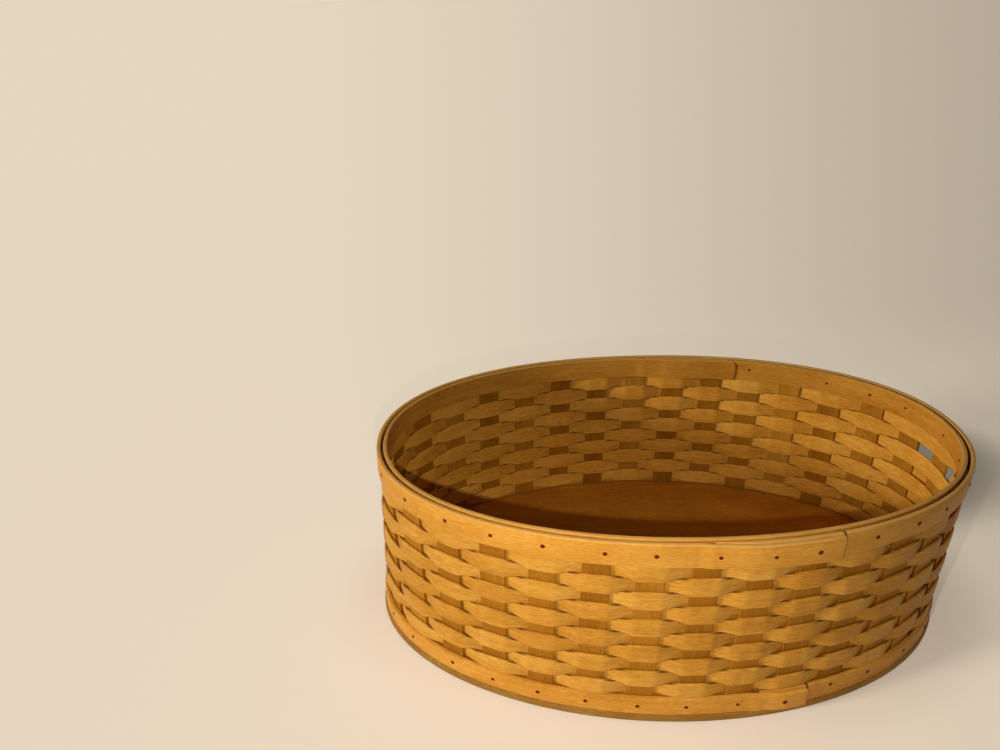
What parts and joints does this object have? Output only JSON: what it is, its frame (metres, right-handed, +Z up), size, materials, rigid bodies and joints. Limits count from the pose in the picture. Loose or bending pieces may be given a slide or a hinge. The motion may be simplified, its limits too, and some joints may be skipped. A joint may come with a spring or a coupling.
{
  "type": "woven splint basket",
  "caption": "Large oval woven splint basket with a solid wooden floor, flat rim and bottom bands, and a slot in each end wall.",
  "frame": {"origin": "centre of the basket on the plane it stands on, at the underside of the floor board", "axes": "+X along the basket's length, +Y from the front side to the back side, +Z up"},
  "size_m": [0.636, 0.3632, 0.2225],
  "materials": {
    "floor_wood": "satin varnish, mid brown",
    "stake_splint": "satin varnish, honey",
    "weaver_splint": "satin varnish, honey",
    "band_wood": "satin varnish, honey"
  },
  "bodies": {
    "root": {"floor_board": "floor_wood", "stake_01": "stake_splint", "stake_02": "stake_splint", "stake_03": "stake_splint", "stake_04": "stake_splint", "stake_05": "stake_splint", "stake_06": "stake_splint", "stake_07": "stake_splint", "stake_08": "stake_splint", "stake_09": "stake_splint", "stake_10": "stake_splint", "stake_11": "stake_splint", "stake_12": "stake_splint", "stake_13": "stake_splint", "stake_14": "stake_splint", "stake_15": "stake_splint", "stake_16": "stake_splint", "stake_17": "stake_splint", "stake_18": "stake_splint", "stake_19": "stake_splint", "stake_20": "stake_splint", "stake_21": "stake_splint", "stake_22": "stake_splint", "stake_23": "stake_splint", "stake_24": "stake_splint", "stake_25": "stake_splint", "stake_26": "stake_splint", "stake_27": "stake_splint", "stake_28": "stake_splint", "stake_29": "stake_splint", "stake_30": "stake_splint", "stake_31": "stake_splint", "stake_32": "stake_splint", "weaver_row_01": "weaver_splint", "weaver_row_03": "weaver_splint", "weaver_row_04": "weaver_splint", "weaver_row_05": "weaver_splint", "weaver_row_06": "weaver_splint", "weaver_row_07": "weaver_splint", "weaver_row_08": "weaver_splint", "weaver_row_09": "weaver_splint", "weaver_row_10": "weaver_splint", "weaver_row_02_back": "weaver_splint", "weaver_row_02_front": "weaver_splint", "bottom_band": "band_wood", "rim_outer_band": "band_wood", "rim_inner_band": "band_wood"}
  },
  "joints": []
}
